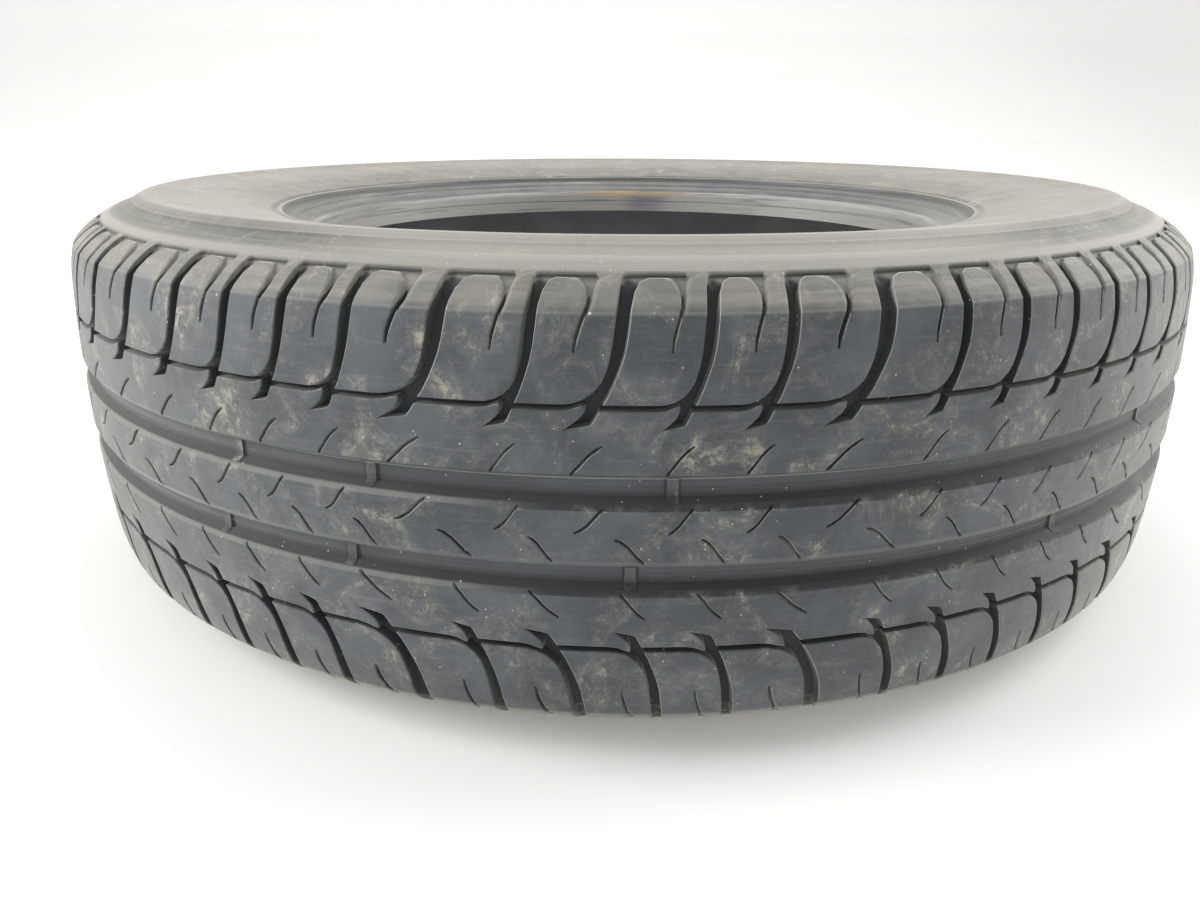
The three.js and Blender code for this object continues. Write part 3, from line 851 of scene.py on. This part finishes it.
def weathered_tyre_rubber():
    """Carbon-black rubber of the tread and sidewall. The road has scrubbed the cap to a bluish slate,
    the unworn shoulder and sidewall are bleached and dusty, and the groove walls stay black."""
    material = new_material("weathered_tyre_rubber")
    tree = material.node_tree
    place, around, half_width, radius, up = place_on_tyre(tree)
    depth = add(tree, "ShaderNodeAttribute", attribute_name="cut_depth").node.outputs["Fac"]
    rim = add(tree, "ShaderNodeAttribute", attribute_name="bright_rim").node.outputs["Fac"]
    to_right, to_front, _ = add(tree, "ShaderNodeSeparateXYZ", around).node.outputs

    # Clouds of 30 mm, mottling of 42 mm and streaks that run round the ring. The speckle of 2 mm stands
    # for the grain of scrubbed rubber, which is too fine to show
    cloud = add(tree, "ShaderNodeTexNoise", place, 1 / (30 * MM), 3.0, 0.62)
    fine = add(tree, "ShaderNodeTexNoise", place, 1 / (2.2 * MM), 2.0, 0.6)
    mottle = add(tree, "ShaderNodeTexNoise", place, 1 / (42 * MM), 4.0, 0.66, None, 0.8)
    scrub = streaks(tree, around, up, 26, 1.6, 2.0)
    bleach = streaks(tree, around, radius, 60, 2.4, 3.0)
    scuff = streaks(tree, around, radius, 90, 3.0, 3.0)

    # Worn cap
    cap = coat(tree, colour("#43484c"), "#5a6065", 1.0, (cloud, 0.34, 0.68))
    cap = coat(tree, cap, "#767c7e", 0.3, (scrub, 0.5, 0.8))
    cap = coat(tree, cap, "#70757a", 0.35, (fine, 0.55, 0.8))

    # Unworn shoulder above the wear edge, bleached, with a ragged border
    shoulder = coat(tree, colour("#6c6c68"), "#82817a", 1.0, (cloud, 0.35, 0.65))
    shoulder = coat(tree, shoulder, "#a09d93", 0.6, (bleach, 0.4, 0.75))
    wear_edge = WEAR_EDGE_HALF_WIDTH
    ragged = add(tree, "ShaderNodeMath", cloud, 3.0, half_width, operation="MULTIPLY_ADD")
    unworn = shares(tree, 1.0, (ragged, wear_edge + 0.6, wear_edge + 4.2))
    tone = add(tree, "ShaderNodeMix", unworn, cap, shoulder, data_type="RGBA")
    tone = coat(tree, tone, "#8f908c", 0.4, (half_width, wear_edge - 0.9, wear_edge - 0.1),
                (half_width, wear_edge + 0.9, wear_edge + 0.1))

    # Pale strip over the shoulder line, and the smooth band beside it, dark, with a mottled painted
    # reflection in front
    tone = coat(tree, tone, "#a3a29a", 0.7, (half_width, TREAD_EDGE - 1.4, TREAD_EDGE - 0.6))
    wander = add(tree, "ShaderNodeMath", bleach, 1.6, half_width, operation="MULTIPLY_ADD")
    band_foot = CROWN_RADIUS - BAND_END[1]
    band_tone = coat(tree, colour("#4d4f4d"), "#646460", 1.0, (bleach, 0.35, 0.7))
    # Painted reflection of the bright studio on the band, in front only
    band_tone = coat(tree, band_tone, "#a09d94", 0.95, (to_front, -0.84, -0.97), (mottle, 0.2, 0.42))
    in_band = shares(tree, 1.0, (wander, BAND_START[0] - 0.4, BAND_START[0] + 1.2),
                     (radius, band_foot - 0.2, band_foot + 0.1))
    tone = add(tree, "ShaderNodeMix", in_band, tone, band_tone, data_type="RGBA")

    # Sidewall: mottled olive grey, scuffed along the ring, paler on its crest, and more so in front as
    # painted sheen
    wall = coat(tree, colour("#55534d"), "#716e66", 1.0, (mottle, 0.36, 0.64))
    wall = coat(tree, wall, "#67655d", 0.75, (scuff, 0.38, 0.72))
    wall = coat(tree, wall, "#787670", 0.7, (radius, 268, 276))
    # Painted sheen on the crest, in front only
    wall = coat(tree, wall, "#a9a69d", 0.85, (radius, 264, 271), (to_front, -0.8, -0.95))
    is_wall = shares(tree, 1.0, (radius, band_foot, band_foot - 0.3), (half_width, 79.0, 81.0))
    tone = add(tree, "ShaderNodeMix", is_wall, tone, wall, data_type="RGBA")

    # Cross grooves and slits are black inside, and the shallow ends on the shoulder are dusty
    shallow_end = add(tree, "ShaderNodeMapRange", half_width, wear_edge - 1, wear_edge + 4, 0.0, 1.15)
    sunk = add(tree, "ShaderNodeMath", depth, shallow_end, operation="SUBTRACT")
    black = coat(tree, colour("#212427"), "#2f3337", 1.0, (cloud, 0.4, 0.7))
    share = shares(tree, 0.95, (sunk, 0.25, 0.9))
    tone = add(tree, "ShaderNodeMix", share, tone, black, data_type="RGBA")

    # The line round the shoulder stays dark to its floor
    tone = coat(tree, tone, "#3d3f41", 0.9, (depth, 0.45, 1.1), (half_width, 85.2, 86.0))

    # Wide grooves: slate like the cap, with painted shade up to the lower edge of each, and a painted
    # highlight on that edge at the left
    inner, outer = MAIN_GROOVE[0][0], MAIN_GROOVE[-1][0]
    in_groove = shares(tree, 0.85, (half_width, outer - 1.4, outer - 3.0),
                       (half_width, inner, inner + 0.8))
    groove = coat(tree, colour("#52565a"), "#62676a", 1.0, (cloud, 0.34, 0.68))
    tone = add(tree, "ShaderNodeMix", in_groove, tone, groove, data_type="RGBA")
    for edge in (inner, -outer):
        # Painted shade that rises from the lower edge, darkest right beside it
        tone = coat(tree, tone, "#2a2e32", 0.85, (up, edge, edge + 0.5), (up, edge + 8.6, edge + 3.4))
        tone = coat(tree, tone, "#1c2023", 0.7, (up, edge, edge + 0.4), (up, edge + 3.6, edge + 2.2))
        # Painted highlight on the lower edge, on the left of the tyre only
        tone = coat(tree, tone, "#777975", 0.85, (to_right, -0.14, -0.3), (up, edge, edge + 0.4),
                    (up, edge + 2.6, edge + 1.8))

    # Painted shade at the feet of the wear bars
    tone = coat(tree, tone, "#25282b", 0.85, (depth, 5.0, 7.0))

    # Painted highlights on the rims of the walls that face left
    rim_highlight = shares(tree, 0.75, (rim, 0.1, 0.8), (depth, 0.6, 0.3))
    tone = coat(tree, tone, "#b4b7b7", rim_highlight, (fine, 0.2, 0.5))

    # Dried mud in thin patches, scratches and pale grit, where the surface stands proud
    patch = add(tree, "ShaderNodeTexNoise", place, 1 / (26 * MM), 5.0, 0.7, None, 1.2)
    broken = add(tree, "ShaderNodeTexNoise", place, 1 / (5 * MM), 4.0, 0.75, None, 0.6)
    proud = (depth, 0.8, 0.3)
    tone = coat(tree, tone, "#8b8981", 0.42, (patch, 0.44, 0.62), (broken, 0.34, 0.66), (depth, 1.6, 0.3))
    tone = coat(tree, tone, "#a8a294", 0.9, proud, (patch, 0.57, 0.7), (broken, 0.46, 0.6))
    scratch = add(tree, "ShaderNodeTexNoise", place, 1 / (3.4 * MM), 1.0, 0.5, None, 2.4)
    tone = coat(tree, tone, "#b9b6aa", 0.55, proud, (scratch, 0.488, 0.498), (scratch, 0.512, 0.502),
                (patch, 0.5, 0.6))
    crowd = shares(tree, 0.35, (patch, 0.42, 0.6))
    small, large = grit(tree, place, 3.2, 0.8, crowd), grit(tree, place, 9.0, 1.3, 0.06)
    specks = add(tree, "ShaderNodeMath", small, large, operation="MAXIMUM")
    tone = coat(tree, tone, "#d4d0c4", specks)

    roughness = add(tree, "ShaderNodeMapRange", cloud, 0.3, 0.7, 0.62, 0.78)
    finish_rubber(tree, tone, roughness, fine, 0.11)
    return material


# Middles of two stains on the seat at the back: rust, and a faint blue film
RUST_AT = (0.022, 0.19, 0.1715)
BLUE_FILM_AT = (0.033, 0.187, 0.1675)


def smooth_bead_rubber():
    """Hard rubber of the bead and its ring, pressed smooth by the rim: bluish grey, faintly shiny,
    with fine ridges round it, pale streaks at the heel and a little rust from the rim."""
    material = new_material("smooth_bead_rubber")
    tree = material.node_tree
    place, around, half_width, radius, _ = place_on_tyre(tree)

    # Clouds of 35 mm, fine ridges of 0.9 mm and streaks of 3 mm that run round the ring
    cloud = add(tree, "ShaderNodeTexNoise", place, 1 / (35 * MM), 4.0, 0.6)
    ridges = streaks(tree, around, radius, 150, 0.9, 2.0)
    wide = streaks(tree, around, half_width, 110, 3.2, 3.0)
    tone = coat(tree, colour("#575858"), "#6b6b6a", 1.0, (cloud, 0.35, 0.65))
    tone = coat(tree, tone, "#8b8b89", 0.6, (ridges, 0.42, 0.66))
    tone = coat(tree, tone, "#a6a6a2", 0.8, (wide, 0.55, 0.75))

    # Painted shade in the hollow below the ring
    tone = coat(tree, tone, "#4b4e50", 0.8, (radius, 206.8, 205.6), (radius, 202.8, 204.4))

    # The seat below the heel is rubbed pale, with the two stains at the back
    tone = coat(tree, tone, "#9d9b95", 0.85, (half_width, 75.5, 73.5), (wide, 0.3, 0.5))
    tone = coat(tree, tone, "#b9b9b7", 0.7, (radius, 193.0, 191.2), (half_width, 71.5, 73.0),
                (wide, 0.42, 0.6))
    from_rust = add(tree, "ShaderNodeVectorMath", place, RUST_AT, operation="DISTANCE")
    tone = coat(tree, tone, "#c19a58", 0.9, (from_rust.node.outputs["Value"], 0.06, 0.006),
                (radius, 192.8, 191.6), (half_width, 72.2, 73.2), (wide, 0.3, 0.5))
    from_film = add(tree, "ShaderNodeVectorMath", place, BLUE_FILM_AT, operation="DISTANCE")
    tone = coat(tree, tone, "#55566c", 0.5, (from_film.node.outputs["Value"], 0.024, 0.006),
                (half_width, 72.0, 71.0))
    roughness = add(tree, "ShaderNodeMapRange", wide, 0.35, 0.7, 0.42, 0.6)
    finish_rubber(tree, tone, roughness, ridges, 0.35)
    return material


def butyl_liner():
    """Butyl inner liner, grey, painted much paler than its own tone to stand in for the light that reaches
    inside, with faint rings from the curing bladder.
    """
    material = new_material("butyl_liner")
    tree = material.node_tree
    place, around, _, _, up = place_on_tyre(tree)
    cloud = add(tree, "ShaderNodeTexNoise", place, 1 / (50 * MM), 4.0, 0.6)
    rings = streaks(tree, around, up, 120, 5.0, 3.0)
    # Painted light: the liner's tone is lifted far above that of dark butyl
    tone = coat(tree, colour("#9c9ea3"), "#b0b1b5", 1.0, (cloud, 0.35, 0.65))
    tone = coat(tree, tone, "#b0afae", 0.5, (rings, 0.5, 0.75))
    roughness = add(tree, "ShaderNodeMapRange", cloud, 0.3, 0.7, 0.5, 0.62)
    finish_rubber(tree, tone, roughness, rings, 0.3)
    return material


# Studio in metres: a cove of pale paper, even light all round and two soft lamps, left and right
FLOOR_FRONT, FLOOR_BACK, COVE_RADIUS, COVE_TOP, FLOOR_SIDE = -14.0, 1.6, 1.2, 4.0, 14.0
COVE_STEPS = 13
PAPER, PAPER_ROUGHNESS, PAPER_SEEN = "#e9e8e6", 0.9, "#fbfaf7"
BACKDROP_GLOW, GLOW_NEAR_TYRE = 0.34, 0.18
NEAR_TYRE, CLEAR_OF_TYRE = 0.31, 0.42
UPRIGHT_GLOW_CUT, UPRIGHT_HEIGHT = 0.1, 0.4
SKY, SKY_STRENGTH = "#f0f0f0", 0.76
LAMP_SIZE = 1.2
LAMPS = (("key_left", (-1.9, -0.15, 1.05), 36), ("fill_right", (1.7, 0.3, 1.05), 26))
LAMPS_AIM = (0, 0, 0.1)

# The photograph's camera, as it was fitted: focal length in pixels of the photo's width, and angles
PHOTO_WIDTH, FOCAL_LENGTH = 1200, 921
SENSOR_WIDTH = 36
CAMERA_PLACE = (-0.0484, -0.6, 0.2352)
CAMERA_DOWN, CAMERA_ROLL, CAMERA_TURN = 0.3525, -0.0024, -0.0539


def cove_mesh():
    """Floor, bend and back of the paper, as one strip from the front to the top."""
    bend = [(FLOOR_BACK + COVE_RADIUS * math.sin(t), COVE_RADIUS * (1 - math.cos(t)))
            for t in np.linspace(0, math.pi / 2, COVE_STEPS)]
    section = [(FLOOR_FRONT, 0.0), *bend, (FLOOR_BACK + COVE_RADIUS, COVE_TOP)]
    points = [(side * FLOOR_SIDE, y, z) for y, z in section for side in (-1, 1)]
    faces = [(i, i + 1, i + 3, i + 2) for i in range(0, len(points) - 2, 2)]
    mesh = bpy.data.meshes.new("paper_cove")
    mesh.from_pydata(points, [], faces)
    return mesh


def pale_paper():
    """Matt white background paper. What the camera sees of it is lifted a little, less near the tyre and
    where the paper stands up, so that it reads as near white beside the shadow. The light on the tyre
    is left alone."""
    material = new_material("pale_paper")
    tree = material.node_tree
    shader = tree.nodes.new("ShaderNodeBsdfPrincipled")
    shader.inputs["Base Color"].default_value = colour(PAPER)
    shader.inputs["Roughness"].default_value = PAPER_ROUGHNESS
    rays = add(tree, "ShaderNodeLightPath").node.outputs
    shown = add(tree, "ShaderNodeMath", rays["Is Camera Ray"], rays["Is Glossy Ray"], operation="MAXIMUM")
    place = add(tree, "ShaderNodeTexCoord").node.outputs["Object"]
    away = add(tree, "ShaderNodeVectorMath", place, operation="LENGTH").node.outputs["Value"]
    level = add(tree, "ShaderNodeMapRange", away, NEAR_TYRE, CLEAR_OF_TYRE, GLOW_NEAR_TYRE,
                BACKDROP_GLOW, interpolation_type="SMOOTHSTEP")
    height = add(tree, "ShaderNodeSeparateXYZ", place).node.outputs["Z"]
    upright = add(tree, "ShaderNodeMapRange", height, 0.0, UPRIGHT_HEIGHT, 0.0, UPRIGHT_GLOW_CUT)
    level = add(tree, "ShaderNodeMath", level, upright, operation="SUBTRACT")
    glow = add(tree, "ShaderNodeMath", shown, level, operation="MULTIPLY")
    shader.inputs["Emission Color"].default_value = colour(PAPER_SEEN)
    tree.links.new(glow, shader.inputs["Emission Strength"])
    out = tree.nodes.new("ShaderNodeOutputMaterial")
    tree.links.new(shader.outputs[0], out.inputs[0])
    return material


def studio():
    """Paper, sky and lamps. The camera sees the sky as pale as the paper."""
    mesh = cove_mesh()
    mesh.materials.append(pale_paper())
    new_object("paper_cove", mesh)
    world = bpy.data.worlds.new("even_light")
    bpy.context.scene.world = world
    world.use_nodes = True
    sky = world.node_tree
    sky.nodes.clear()
    lit = add(sky, "ShaderNodeBackground", colour(SKY), SKY_STRENGTH)
    seen = add(sky, "ShaderNodeBackground", colour(PAPER_SEEN), 1.0)
    rays = add(sky, "ShaderNodeLightPath").node.outputs
    background = add(sky, "ShaderNodeMixShader", rays["Is Camera Ray"], lit, seen)
    sky_out = sky.nodes.new("ShaderNodeOutputWorld")
    sky.links.new(background, sky_out.inputs[0])
    for name, place, power in LAMPS:
        lamp = bpy.data.lights.new(name, "AREA")
        lamp.shape, lamp.size, lamp.energy = "DISK", LAMP_SIZE, power
        holder = new_object(name, lamp)
        holder.location = place
        aim = Vector(LAMPS_AIM) - holder.location
        holder.rotation_euler = aim.to_track_quat("-Z", "Y").to_euler()


def camera():
    """The photograph's view: a phone's wide lens close to the tread, looking a little down."""
    data = bpy.data.cameras.new("camera")
    data.sensor_width = SENSOR_WIDTH
    data.lens = FOCAL_LENGTH / PHOTO_WIDTH * SENSOR_WIDTH
    data.clip_start = 0.01
    holder = new_object("camera", data)
    holder.location = CAMERA_PLACE
    holder.rotation_euler = (math.pi / 2 - CAMERA_DOWN, CAMERA_ROLL, CAMERA_TURN)
    bpy.context.scene.camera = holder


camera()
studio()
tread_rubber = weathered_tyre_rubber()
tyre = rubber(tread_rubber, smooth_bead_rubber(), butyl_liner())
bars = wear_bars(tread_rubber)
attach(tyre, "root")
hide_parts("tyre")
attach(bars, "root")

bpy.context.scene.view_settings.view_transform = "Standard"
